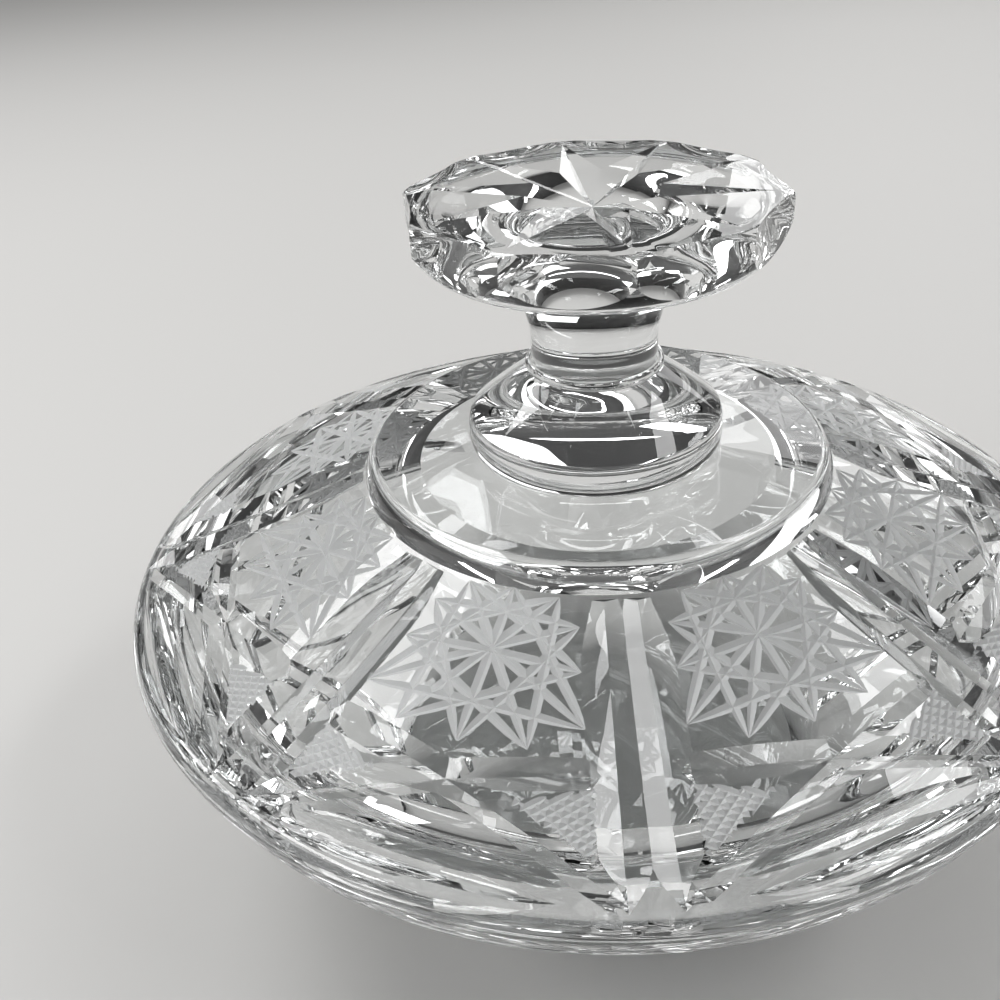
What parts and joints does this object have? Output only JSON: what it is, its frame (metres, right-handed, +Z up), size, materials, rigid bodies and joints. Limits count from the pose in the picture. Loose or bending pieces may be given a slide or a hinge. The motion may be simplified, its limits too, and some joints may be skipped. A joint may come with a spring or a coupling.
{
  "type": "lidded candy dish",
  "caption": "Round cut-crystal candy dish with a lift-off domed lid, flute and star cuts, a plain polished top and a ten-sided star-cut knob on a turned stem.",
  "frame": {"origin": "Centre of the flat foot of the dish, on the table.", "axes": "+Z up along the axis of the dish and the lid; -Y towards the viewer of the picture, through the line between two panels; +X to the viewer's right."},
  "size_m": [0.15, 0.15, 0.1083],
  "materials": {
    "lead_crystal": "clear, cut and polished, with matt ground star lines and fine hatching"
  },
  "bodies": {
    "dish": {"dish": "lead_crystal"},
    "lid": {"lid_cover": "lead_crystal", "lid_knob": "lead_crystal"}
  },
  "joints": [
    {"name": "lid_lift", "type": "slide", "parent": "dish", "child": "lid", "axis": [0, 0, 1], "range_m": [0, 0.1]}
  ]
}
